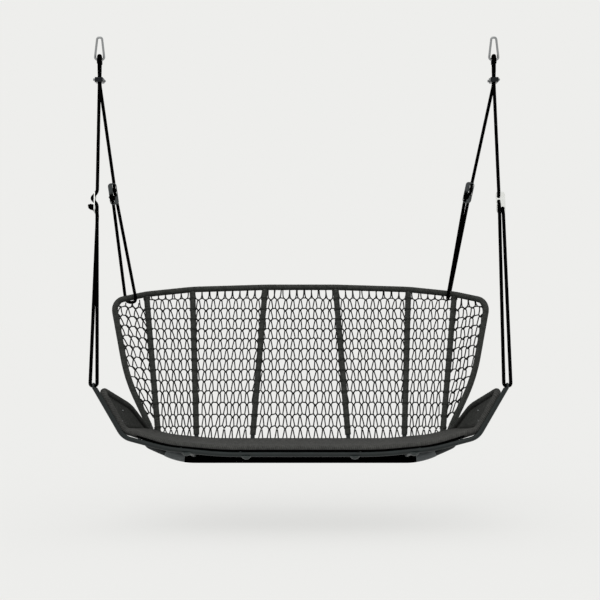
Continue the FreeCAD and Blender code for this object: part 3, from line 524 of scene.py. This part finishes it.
# The points of the part's source, with one more near each corner of a long straight stretch
ROUTES = {
    "left": (
        (-0.8999, -0.1631, -0.7711),
        (-0.8732, -0.1707, -0.7952),
        (-0.8729, -0.1821, -0.8301),
        (-0.8669, -0.4052, -1.5131),
        (-0.8667, -0.4143, -1.5410),
        (-0.8373, -0.4143, -1.5410),
        (-0.8386, -0.4058, -1.5129),
        (-0.8729, -0.1852, -0.7879),
        (-0.8742, -0.1764, -0.7590),
        (-0.8962, -0.1701, -0.7391),
        (-0.8965, -0.1668, -0.7280),
        (-0.8757, -0.1605, -0.7070),
        (-0.8765, -0.1517, -0.6780),
        (-0.8891, -0.0177, -0.2375),
        (-0.8900, -0.0078, -0.2050),
        (-0.8900, -0.0078, -0.1710),
        (-0.8900, -0.0158, -0.1320),
        (-0.8900, -0.0158, -0.0792),
        (-0.8900, 0.0158, -0.0792),
        (-0.8900, 0.0158, -0.1320),
        (-0.8900, 0.0078, -0.1710),
        (-0.8900, 0.0078, -0.2050),
        (-0.8866, 0.0169, -0.2376),
        (-0.8465, 0.1221, -0.6158),
        (-0.8434, 0.1302, -0.6448),
        (-0.8407, 0.1153, -0.6710),
        (-0.8395, 0.1184, -0.6821),
        (-0.8379, 0.1447, -0.6970),
        (-0.8334, 0.1535, -0.7256),
        (-0.7686, 0.2800, -1.1392),
        (-0.7604, 0.2961, -1.1920),
        (-0.8134, 0.3134, -1.1906),
        (-0.8176, 0.2952, -1.1381),
        (-0.8477, 0.1656, -0.7649),
        (-0.8505, 0.1535, -0.7303),
        (-0.8524, 0.1215, -0.7123),
    ),
    "right": (
        (0.9043, -0.1535, -0.7733),
        (0.9042, -0.1860, -0.7906),
        (0.9041, -0.1967, -0.8258),
        (0.9008, -0.4057, -1.5129),
        (0.9007, -0.4143, -1.5410),
        (0.8713, -0.4143, -1.5410),
        (0.8719, -0.4057, -1.5129),
        (0.8877, -0.1852, -0.7879),
        (0.8883, -0.1764, -0.7590),
        (0.8884, -0.1497, -0.7447),
        (0.8884, -0.1463, -0.7336),
        (0.8885, -0.1605, -0.7069),
        (0.8886, -0.1517, -0.6780),
        (0.8899, -0.0177, -0.2375),
        (0.8900, -0.0078, -0.2050),
        (0.8900, -0.0078, -0.1710),
        (0.8900, -0.0158, -0.1320),
        (0.8900, -0.0158, -0.0792),
        (0.8900, 0.0158, -0.0792),
        (0.8900, 0.0158, -0.1320),
        (0.8900, 0.0078, -0.1710),
        (0.8900, 0.0078, -0.2050),
        (0.8846, 0.0202, -0.2362),
        (0.8198, 0.1681, -0.6094),
        (0.8150, 0.1791, -0.6372),
        (0.8102, 0.1669, -0.6645),
        (0.8084, 0.1712, -0.6751),
        (0.8063, 0.1989, -0.6871),
        (0.8020, 0.2099, -0.7149),
        (0.7387, 0.3708, -1.1207),
        (0.7320, 0.3880, -1.1641),
        (0.7184, 0.3455, -1.1791),
        (0.7248, 0.3325, -1.1342),
        (0.7802, 0.2210, -0.7496),
        (0.7853, 0.2109, -0.7146),
        (0.7878, 0.1772, -0.7001),
    ),
}


def rope_line(name, points):
    """Points read from the route's smooth curve."""
    curve = bpy.data.curves.new(name, "CURVE")
    curve.dimensions = "3D"
    spline = curve.splines.new("NURBS")
    spline.points.add(len(points) - 1)
    for point, place in zip(spline.points, points):
        point.co = (*place, 1.0)
    spline.order_u = 3
    spline.use_endpoint_u = True
    spline.resolution_u = 64
    holder = bpy.data.objects.new(name, curve)
    mesh = bpy.data.meshes.new_from_object(holder)
    line = np.array([vertex.co for vertex in mesh.vertices])
    bpy.data.objects.remove(holder)
    bpy.data.curves.remove(curve)
    bpy.data.meshes.remove(mesh)
    return line


def make_knot(name, node, end, before):
    """A stopper knot: the rope's end wound three times through itself and drawn tight."""
    middle = np.array(end)
    axis = unit(middle - np.array(before))
    side = unit(np.cross(axis, KNOT_START))
    lift = np.cross(axis, side)
    t = np.linspace(0, 2 * math.pi, KNOT_POINTS)[:, None]
    trefoil = side * (np.sin(t) + 2 * np.sin(2 * t)) + lift * (np.cos(t) - 2 * np.cos(2 * t))
    line = middle + trefoil * (KNOT_RADIUS / 3) - axis * np.sin(3 * t) * KNOT_RADIUS * KNOT_DEPTH
    tail = middle + np.linspace(TAIL_ROOT, 1.0, TAIL_POINTS)[:, None] * (axis + TAIL_LEAN * side) * TAIL
    cords = Cords()
    cords.braid(line, KNOT_STRAND / 2, KNOT_BRAIDING)
    cords.braid(tail, TAIL_RADIUS, KNOT_BRAIDING)
    knot = cords.piece(name, ROPE_BRAID, "rope")
    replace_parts(knot, node)
    return knot


def make_rope(side):
    """A rope with its two stopper knots, and the chafe sleeve over its eye."""
    route = ROUTES[side]
    line = spaced(rope_line(side + "_route", route), ROPE_STEP)
    cords = Cords()
    cords.braid(line, ROPE / 2 * ROPE_SWELL, ROPE_BRAIDING)
    rope = cords.piece(side + "_hanging_rope", ROPE_BRAID, "rope")
    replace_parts(rope, side + "_rope")
    knots = [
        make_knot(side + "_front_stopper_knot", side + "_front_knot", route[0], route[1]),
        make_knot(side + "_rear_stopper_knot", side + "_rear_knot", route[-1], route[-2]),
    ]
    eye = line[line[:, 2] > SLEEVE_FOOT_Z]
    far = distances(eye)
    hem = np.minimum(1.0, HEM + np.minimum(far, far[-1] - far) / HEM_RUN)
    cover = Cords()
    cover.braid(eye, SLEEVE / 2, SLEEVE_BRAIDING, hem[:, None])
    sleeve = cover.piece(side + "_chafe_sleeve", SLEEVE_BRAID, "chafe_sleeve")
    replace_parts(sleeve, side + "_eye_sleeve")


for side in ("left", "right"):
    make_rope(side)


# Seat: the wound edge tube, and cords stretched from the front roll to the rear rail
SEAT_HALF = [at(*point) for point in SEAT_LINE]
WING_KNEE, WING_TIP, WING_BEND, WING_CORNER = SEAT_HALF[2:6]
FRONT_RAIL = mirror_line(SEAT_HALF[2::-1], SEAT_BENDS[1::-1], RAIL_STEP * MM)
REAR_RAIL = mirror_line(SEAT_HALF[5:], SEAT_BENDS[6:], RAIL_STEP * MM)


def make_seat_edge():
    """The winding: the seat cord along the front and up to the wings' tips, and behind them the same cord
    made darker as painted shade; and a black cord under the roll's front as painted shadow.
    """
    corners = SEAT_HALF + [flip(point) for point in SEAT_HALF[::-1]]
    line = tube_line(corners, SEAT_BENDS + SEAT_BENDS[::-1], SEAT_CORD / ROLL_RINGS, closed=True)
    line = line - UP * (ROLL_DROP * MM)
    right, left = (np.argmin(np.linalg.norm(line - tip, axis=1)) for tip in (WING_TIP, flip(WING_TIP)))
    front = np.vstack([line[left:], line[1:right + 1]])
    rear = line[right:left + 1]
    # the rear part of the winding is the seat cord's darker copy: painted shade, as on the wings
    for name, part, yarn in (("front", front, SEAT_YARN), ("rear", rear, SEAT_YARN_SHADED)):
        cords = Cords()
        cords.wind(part, (ROLL / 2 - ROLL_GROOVE) * MM, ROLL / 2 * MM, SEAT_CORD, ROLL_SIDES)
        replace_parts(cords.piece("seat_%s_winding" % name, yarn, "seat_cord"), "seat_winding")
    # a black cord along the roll's lower front side, where there is only the shade of the gap above the
    # carrier: painted shadow
    below = front[np.abs(front[:, 0] - FRONT_TUBE[0]) < SHADOW_CORD_REACH * MM]
    shadow_cord = Cords()
    shadow_cord.add(below + np.array(SHADOW_CORD_PLACE) * MM, SHADOW_CORD / 2 * MM, SHADOW_CORD_SIDES)
    shadow_cord.piece("seat_front_painted_shadow_cord", SLEEVE_BRAID, "seat_cord")


def stretched(starts, ends, up, sag, sections):
    """Cords side by side from one line to another, as one ridged sheet, closed all round."""
    count = len(starts) - 1
    share = np.linspace(0, 1, sections)[:, None, None]
    line = starts[None] + (ends - starts)[None] * share
    line = line - up * (4 * sag * share * (1 - share))
    ridge = np.tile(np.sqrt(1 - (2 * np.arange(RIDGE_STEPS) / RIDGE_STEPS - 1) ** 2), count)
    ridge = np.append(ridge, 0.0)
    fine = np.linspace(0, count, count * RIDGE_STEPS + 1)
    rows = np.stack([
        np.stack([np.interp(fine, np.arange(count + 1), row[:, axis]) for axis in range(3)], axis=1)
        for row in line])
    slack = np.repeat(chance.normal(0, CORD_SLACK * MM, count), RIDGE_STEPS)
    slack = np.append(slack, 0.0)[None, :, None] * np.sin(math.pi * share)
    rows = rows + up * slack
    rise = (SEAT_CORD * (RIDGE[0] + RIDGE[1] * ridge))[None, :, None] * up
    grid = np.concatenate([rows + rise, (rows - rise)[:, ::-1]], axis=1)
    around = np.concatenate([fine, fine[-1] + fine])
    length = np.linalg.norm(ends - starts, axis=1).mean()
    cords = Cords()
    cords.add_grid(grid, share.ravel() * length / SEAT_LAY, np.append(around, around[-1] + 1))
    return cords


def make_seat():
    count = round(distances(FRONT_RAIL)[-1] / SEAT_CORD)
    lift = UP * (COVER_RISE * MM)
    starts, ends = (even(rail, count + 1) + lift for rail in (FRONT_RAIL, REAR_RAIL))
    cords = stretched(starts, ends, UP, SEAT_SAG * MM, SEAT_SECTIONS)
    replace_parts(cords.piece("seat_cords", SEAT_YARN, "seat_cord"), "seat_cover")


make_seat_edge()
make_seat()


# Wings: cords stretched from the fold of the seat up to the wound edge
def make_wing(side, sign):
    count = round(np.linalg.norm(WING_CORNER - WING_KNEE) / SEAT_CORD)
    turn = (WING_BEND[1] - WING_KNEE[1]) / (WING_CORNER[1] - WING_KNEE[1])
    starts, ends = [], []
    for share in np.linspace(*WING_SPAN, count + 1):
        fold = WING_KNEE + (WING_CORNER - WING_KNEE) * share + UP * (FOLD_RISE * MM)
        if share < turn:
            edge = WING_TIP + (WING_BEND - WING_TIP) * share / turn
        else:
            edge = WING_BEND + (WING_CORNER - WING_BEND) * (share - turn) / (1 - turn)
        low = TIP_DROP * max(0.0, 1 - share / TIP_SHARE) ** 2
        starts.append(fold)
        ends.append(edge + (fold - edge) * low)
    starts, ends = (np.array(points) + OUTWARD * (WING_OUT * MM) for points in (starts, ends))
    if sign < 0:
        starts, ends = flip(starts)[::-1], flip(ends)[::-1]
    cords = stretched(starts, ends, OUTWARD * sign, 0.0, WING_SECTIONS)
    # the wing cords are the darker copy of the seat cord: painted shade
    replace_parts(cords.piece(side + "_wing_cords", SEAT_YARN_SHADED, "seat_cord"), side + "_wing_cover")


for side, sign in SIDES:
    make_wing(side, sign)


# Sleeves over the lower cross tube: dark braid along its flat run, pale coated steel on its slanting ends
def make_cross_sleeves():
    line = mirror_line([at(*point) for point in CROSS_LINE], CROSS_BENDS, CROSS_STEP * MM)
    line = line + UP * (SLEEVE_RISE * MM)
    aside = (line[:, 0] - FRONT_TUBE[0]) / MM
    radius = CROSS_SLEEVE / 2
    dark = Cords()
    dark.add(line[np.abs(aside) < DARK_REACH], radius * MM, CROSS_SIDES)
    dark.piece("cross_tube_middle_sleeve", SLEEVE_BRAID, "chafe_sleeve")
    for side, sign in SIDES:
        covered = (aside * sign > GREY_REACH[0]) & (aside * sign < GREY_REACH[1])
        grey = Cords()
        grey.add(line[covered], (radius - GREY_SLIM) * MM, CROSS_SIDES)
        grey.piece("cross_tube_%s_sleeve" % side, SLEEVE_PAINT, "frame_paint")


make_cross_sleeves()


# Back: wound rim and ribs
def rib_x(index, z):
    """How far from the middle a rib is at a height."""
    return RIB_FOOT_X[index] + (RIB_HEAD_X[index] - RIB_FOOT_X[index]) * z / RIB_HEAD_Z[index]


def back(x, z):
    """The point of the back's folded surface at a width and a height on the right side."""
    forward = FOLD_2 * max(0.0, x - rib_x(1, z)) + FOLD_3 * max(0.0, x - rib_x(2, z))
    return at(x, BACK_Y + RECLINE * z - forward, z)


RIB_HEADS = [back(x, z) for x, z in zip(RIB_HEAD_X, RIB_HEAD_Z)]
RIB_FEET = [back(rib_x(index, NET_FOOT), NET_FOOT) for index in range(3)]
RIM_HALF = [back(*RIM_FOOT), back(*RIM_WAIST), back(*RIM_CORNER)] + RIB_HEADS[::-1]


def make_rim_winding():
    line = mirror_line(RIM_HALF, RIM_BENDS, NET_CORD / WINDING_RINGS)
    line = line[line[:, 2] > at(0, 0, RIM_WINDING_FOOT)[2]]
    cords = Cords()
    cords.wind(line, RIM / 2 * MM, (RIM / 2 + RIM_WINDING) * MM, NET_CORD, RIM_SIDES)
    cords.piece("rim_winding", FRAME_YARN, "net_cord")


def coil(middle, axis, radius):
    """A few turns of cord round a tube."""
    side = unit(np.cross(axis, COIL_START))
    lift = np.cross(axis, side)
    turn = np.linspace(0, COIL_TURNS, math.ceil(COIL_TURNS * COIL_STEPS) + 1)[:, None]
    angle = 2 * math.pi * turn
    ring = (side * np.cos(angle) + lift * np.sin(angle)) * radius
    return middle + ring + axis * (turn - COIL_TURNS / 2) * NET_CORD


def make_rib_winding(side, sign, index):
    foot, head = RIB_FEET[index], RIB_HEADS[index]
    if sign < 0:
        foot, head = flip(foot), flip(head)
    axis = unit(head - foot)
    ends = np.array([foot + axis * (RIB_BARE[0] * MM), head - axis * (RIB_BARE[1] * MM)])
    line = spaced(ends, NET_CORD / WINDING_RINGS)
    outer = (RIB / 2 + RIB_WINDING) * MM
    cords = Cords()
    cords.wind(line, outer - RIB_GROOVE * MM, outer, NET_CORD, RIB_SIDES)
    for share in NET_ROWS[1:]:
        rise = (share + COIL_RISE) * (NET_HEAD - NET_FOOT) / (RIB_HEAD_Z[index] - NET_FOOT)
        cords.add(coil(foot + (head - foot) * rise, axis, outer), NET_CORD / 2)
    cords.piece("%s_rib_%d_winding" % (side, index + 1), FRAME_YARN, "net_cord")


make_rim_winding()
for side, sign in SIDES:
    for index in range(3):
        make_rib_winding(side, sign, index)


# Net: rows of loops, each hooked over the foot of the loop above it

# Points of a loop, of one that is hung from the rim, and of the seam through the feet of those: across
# from its middle in shares of the pitch, down in shares of its row's height, and behind the net's
# plane in cord diameters
LOOP = (
    (-0.28, 0.765, -0.3), (-0.20, 0.80, -0.5), (-0.10, 0.90, -0.5), (0.0, 0.97, -0.5), (0.10, 0.90, -0.5),
    (0.20, 0.80, -0.5), (0.28, 0.73, -0.3), (0.25, 0.56, 0.0), (0.18, 0.28, 0.3), (0.11, 0.05, 0.8),
    (0.04, -0.05, 0.3), (-0.04, -0.05, -0.3), (-0.11, 0.05, -0.8), (-0.18, 0.28, -0.3), (-0.25, 0.56, 0.0),
    (-0.28, 0.73, 0.3), (-0.20, 0.81, 0.5), (-0.10, 0.91, 0.5), (0.0, 0.99, 0.5), (0.10, 0.91, 0.5),
    (0.20, 0.81, 0.5), (0.28, 0.765, 0.3),
)
HUNG = (
    (-0.47, -0.14, 0.0), (-0.465, 0.1, 0.0), (-0.44, 0.4, 0.0), (-0.38, 0.65, 0.0), (-0.27, 0.82, -0.4),
    (-0.13, 0.91, -0.5), (0.0, 0.97, -0.5), (0.13, 0.91, -0.5), (0.27, 0.82, -0.4), (0.38, 0.65, 0.0),
    (0.44, 0.4, 0.0), (0.465, 0.1, 0.0), (0.47, -0.14, 0.0),
)
SEAM = (
    (-0.28, 0.78, 0.4), (-0.19, 0.82, 0.5), (-0.09, 0.92, 0.5), (0.0, 0.98, 0.5), (0.09, 0.92, 0.5),
    (0.19, 0.82, 0.5), (0.28, 0.78, 0.4),
)
ARCH = 0.757                # place of the arch between two loops, down the row


def row_height(rise):
    """Height of a row, in millimetres."""
    return NET_FOOT + (NET_HEAD - NET_FOOT) * rise


def at_height(edge, z):
    """The point of a panel's edge at a height; the edge goes on straight above its end."""
    if z > edge[-1, 2]:
        return edge[-1] + (edge[-1] - edge[-2]) * (z - edge[-1, 2]) / (edge[-1, 2] - edge[-2, 2])
    return np.array([np.interp(z, edge[:, 2], edge[:, axis]) for axis in range(3)])


class Net:
    """A netted panel between two edges, which run upwards, and the rim.

    An edge is its line, the corner where it meets the rim, and the lift of the rows towards it. The
    pitch is a loop's width at top and foot, and the shift is that of the loops from the middle."""

    def __init__(self, edges, rows, pitch, shift):
        self.edges = edges
        self.rows = rows
        self.pitch = pitch
        self.columns = np.arange(-MOST_LOOPS, MOST_LOOPS + 1) - shift
        (left, _, _), (right, _, _) = edges
        normal = unit(np.cross(right[0] - left[0], left[-1] - left[0]))
        self.normal = normal * math.copysign(1, normal[1])

    def ends(self, rise):
        """Both ends of a row at a rise; above the first row they go over to the rim's corners."""
        level = min(rise, self.rows[1])
        over = (rise - level) / (1 - self.rows[1])
        for line, corner, lift in self.edges:
            point = at_height(line, at(0, 0, row_height(level) + lift)[2])
            yield point + (corner - point) * over

    def spot(self, share, rise, behind):
        """A point at a share of the width and of the rise, behind the plane by cord diameters."""
        a, b = self.ends(rise)
        share = min(1 + OVERHANG, max(-OVERHANG, share))
        return a + (b - a) * share + self.normal * behind * NET_CORD

    def row(self, number):
        """Rise of a row's top and foot, and its loops: their middles and the pitch in shares of the width."""
        top, foot = self.rows[number], self.rows[number + 1]
        a, b = self.ends(foot)
        step = (self.pitch[1] + (self.pitch[0] - self.pitch[1]) * foot) / np.linalg.norm(b - a)
        middles = 0.5 + self.columns * step
        room = EDGE_ROOM * step
        return top, foot, middles[(middles > -room) & (middles < 1 + room)], step

    def loop(self, shape, top, foot, middle, step, hooked, slack):
        """Points of one loop; its top hooks where the loop above it has its foot."""
        points = []
        for over, down, behind in shape:
            share = hooked + (middle - hooked) * min(1.0, max(0.0, down))
            points.append(self.spot(share + over * step, top - down * slack * (top - foot), behind))
        return points


def hook_above(above, middle, step):
    """Where a loop's top goes: over the foot of a loop above, or else to the panel's nearer edge."""
    nearest = above[np.argmin(np.abs(above - middle))]
    return nearest if abs(nearest - middle) < HOOK_REACH * step else round(middle)


def clear_runs(hung, rope_span):
    """The runs of a hung loop that are clear of the rope round the rim."""
    if rope_span is None:
        return [hung]
    beside = (hung[:, 0] > rope_span[0]) & (hung[:, 0] < rope_span[1])
    kept = np.flatnonzero(~(beside & (hung[:, 2] > hung[:, 2].max() - ROPE_ROOM)))
    runs = np.split(hung[kept], np.flatnonzero(np.diff(kept) > 1) + 1)
    return [run for run in runs if len(run) > 2]


def lace(cords, net, above, step, rail):
    """The last row: from each foot, two legs go down to the seat's rear rail."""
    close, wide = LACE_SPREAD
    for middle in above:
        for way in (-1, 1):
            low = net.spot(middle + way * wide * step, 0.0, 0.0)
            held = rail[np.argmin(np.abs(rail[:, 0] - low[0]))] + UP * (LACE_RISE * MM)
            high = net.spot(middle + way * close * step, net.rows[-1] - LACE_DROP, LACE_BEHIND * way)
            cords.add(spaced(np.array([high, held]), LACE_STEP), NET_CORD / 2)


def make_net(node, net, rope_span=None, rail=None):
    """A panel's cords: hung loops and a seam at the rim, rows of loops, and lacing down to a rail."""
    cords = Cords()
    above = None
    for number in range(len(net.rows) - 1):
        top, foot, middles, step = net.row(number)
        middles = middles + chance.normal(0, LOOP_WANDER, len(middles)) * step
        arch = top - ARCH * (top - foot)
        line = [net.spot(-OVERHANG, arch, 0.0)]
        for middle in middles:
            slack = 1 + chance.normal(0, LOOP_SLACK)
            hooked = middle if above is None else hook_above(above, middle, step)
            line += net.loop(LOOP if number else SEAM, top, foot, middle, step, hooked, slack)
            line.append(net.spot(min(1.0, middle + step / 2), arch, 0.0))
            if number == 0:
                hung = np.array(net.loop(HUNG, top, foot, middle, step, hooked, slack))
                for run in clear_runs(hung, rope_span):
                    cords.add(smooth(run, CURVE_STEPS), NET_CORD / 2)
        line.append(net.spot(1 + OVERHANG, arch, 0.0))
        cords.add(smooth(line, CURVE_STEPS), NET_CORD / 2)
        above = middles
    if rail is not None:
        lace(cords, net, above, step, rail)
    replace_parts(cords.piece(node + "_cords", NET_YARN, "net_cord"), node)


def rib_side(index, way):
    """A net's edge beside a rib: on its outer side (way 1) or on its inner side (way -1)."""
    foot, head = RIB_FEET[index], RIB_HEADS[index]
    inset = OUTWARD * (way * RIB / 2 * MM)
    line = np.array([foot + inset, head + inset - unit(head - foot) * (RIM / 2 + RIM_ROOM) * MM])
    return line, line[-1], 0.0


def rim_side():
    """The net's outer edge: up the rim's inner side and round its corner, as far as it rises."""
    line = tube_line(RIM_HALF[:4], RIM_BENDS[:4], RIM_STEP * MM)
    line = line[(line[:, 2] > at(0, 0, NET_WING_FOOT)[2]) & (line[:, 2] < RIB_HEADS[2][2])]
    heart = (RIB_FEET[2] + RIB_HEADS[2] + back(*RIM_WAIST)) / 3
    along = np.gradient(line, axis=0)
    inward = np.cross(along, np.cross(heart - line, along))
    inner = line + inward / np.linalg.norm(inward, axis=1)[:, None] * RIM / 2 * MM
    rising = np.diff(np.maximum.accumulate(inner[:, 2])) > 0
    inner = inner[np.concatenate([[True], rising])]
    return inner, inner[np.argmax(inner[:, 0] + CORNER_SLANT * inner[:, 2])], ROW_LIFT


def mirrored(edges):
    """The same edges on the other side of the sofa, again from left to right."""
    return [(flip(line), flip(corner), lift) for line, corner, lift in edges[::-1]]


def make_nets():
    inner = [rib_side(0, -1)]
    make_net("net_1", Net(mirrored(inner) + inner, NET_ROWS, NET_PITCH[0], NET_SHIFT[0]), rail=REAR_RAIL)
    low = next(number for number, rise in enumerate(NET_ROWS)
               if row_height(rise) + ROW_LIFT < NET_WING_FOOT - NET_WING_ROOM)
    # the outermost panel has one tall row at the rim, and ends at the wing
    wing_rows = NET_ROWS[:1] + NET_ROWS[2:low]
    panels = (
        ([rib_side(0, 1), rib_side(1, -1)], NET_ROWS, REAR_RAIL),
        ([rib_side(1, 1), rib_side(2, -1)], NET_ROWS, REAR_RAIL),
        ([rib_side(2, 1), rim_side()], wing_rows, None),
    )
    for number, (edges, rows, rail) in enumerate(panels, 1):
        for side, placed in (("right", edges), ("left", mirrored(edges))):
            net = Net(placed, rows, NET_PITCH[number], NET_SHIFT[number])
            make_net("%s_net_%d" % (side, number + 1), net, ROPE_SPAN[side], rail)


make_nets()


# Stage: pale floor and soft light
def make_floor():
    mesh = bpy.data.meshes.new("floor")
    corners = [(x * FLOOR_REACH, y * FLOOR_REACH, FLOOR_Z) for x, y in ((-1, -1), (1, -1), (1, 1), (-1, 1))]
    mesh.from_pydata(corners, [], [(0, 1, 2, 3)])
    material, tree, shader = start_material(
        "lit_shooting_table", Roughness=1.0, Specular_IOR_Level=0.0, Emission_Strength=FLOOR_GLOW)
    grey = linear(FLOOR_GREY)
    shader.inputs["Emission Color"].default_value = grey
    shader.inputs["Base Color"].default_value = [(1 - FLOOR_GLOW) * share for share in grey[:3]] + [1.0]
    mesh.materials.append(material)
    floor = bpy.data.objects.new("floor", mesh)
    bpy.context.scene.collection.objects.link(floor)
    floor.visible_diffuse = False       # the floor's own glow would light the undersides


def make_light():
    """An even white studio, and a broad key light from the front, above and to the left."""
    world = bpy.data.worlds.new("studio")
    bpy.context.scene.world = world
    world.use_nodes = True
    tree = world.node_tree
    tree.nodes.clear()
    path = add(tree, "ShaderNodeLightPath")
    seen = add(tree, "ShaderNodeMath", {
        0: path.outputs["Is Camera Ray"], 1: path.outputs["Is Glossy Ray"]}, operation="MAXIMUM")
    seen = add(tree, "ShaderNodeMath", {
        0: seen.outputs["Value"], 1: path.outputs["Is Transmission Ray"]}, operation="MAXIMUM")
    way = add(tree, "ShaderNodeTexCoord").outputs["Generated"]
    height = add(tree, "ShaderNodeSeparateXYZ", {"Vector": way}).outputs["Z"]
    level = add(tree, "ShaderNodeMapRange", {
        "Value": height, "From Min": -DUSK, "From Max": DUSK, "To Min": UNDER, "To Max": AMBIENT})
    light = add(tree, "ShaderNodeBackground", {
        "Color": (1.0, 1.0, 1.0, 1.0), "Strength": level.outputs["Result"]})
    backdrop = add(tree, "ShaderNodeBackground", {"Color": linear(FLOOR_GREY), "Strength": 1.0})
    both = add(tree, "ShaderNodeMixShader", {
        "Fac": seen.outputs["Value"], 1: light.outputs["Background"], 2: backdrop.outputs["Background"]})
    add(tree, "ShaderNodeOutputWorld", {"Surface": both.outputs["Shader"]})
    key = bpy.data.lights.new("key", "SUN")
    key.energy = KEY
    key.angle = math.radians(KEY_SPREAD)
    lamp = bpy.data.objects.new("key", key)
    lamp.rotation_euler = (math.radians(KEY_TILT), 0, math.radians(KEY_TURN))
    bpy.context.scene.collection.objects.link(lamp)


def make_camera():
    data = bpy.data.cameras.new("camera")
    data.lens = LENS
    data.sensor_width = SENSOR
    camera = bpy.data.objects.new("camera", data)
    camera.location = CAMERA
    camera.rotation_euler = (math.radians(90), 0, 0)    # level
    bpy.context.scene.collection.objects.link(camera)
    bpy.context.scene.camera = camera


make_floor()
make_light()
make_camera()
bpy.context.scene.view_settings.view_transform = "Standard"
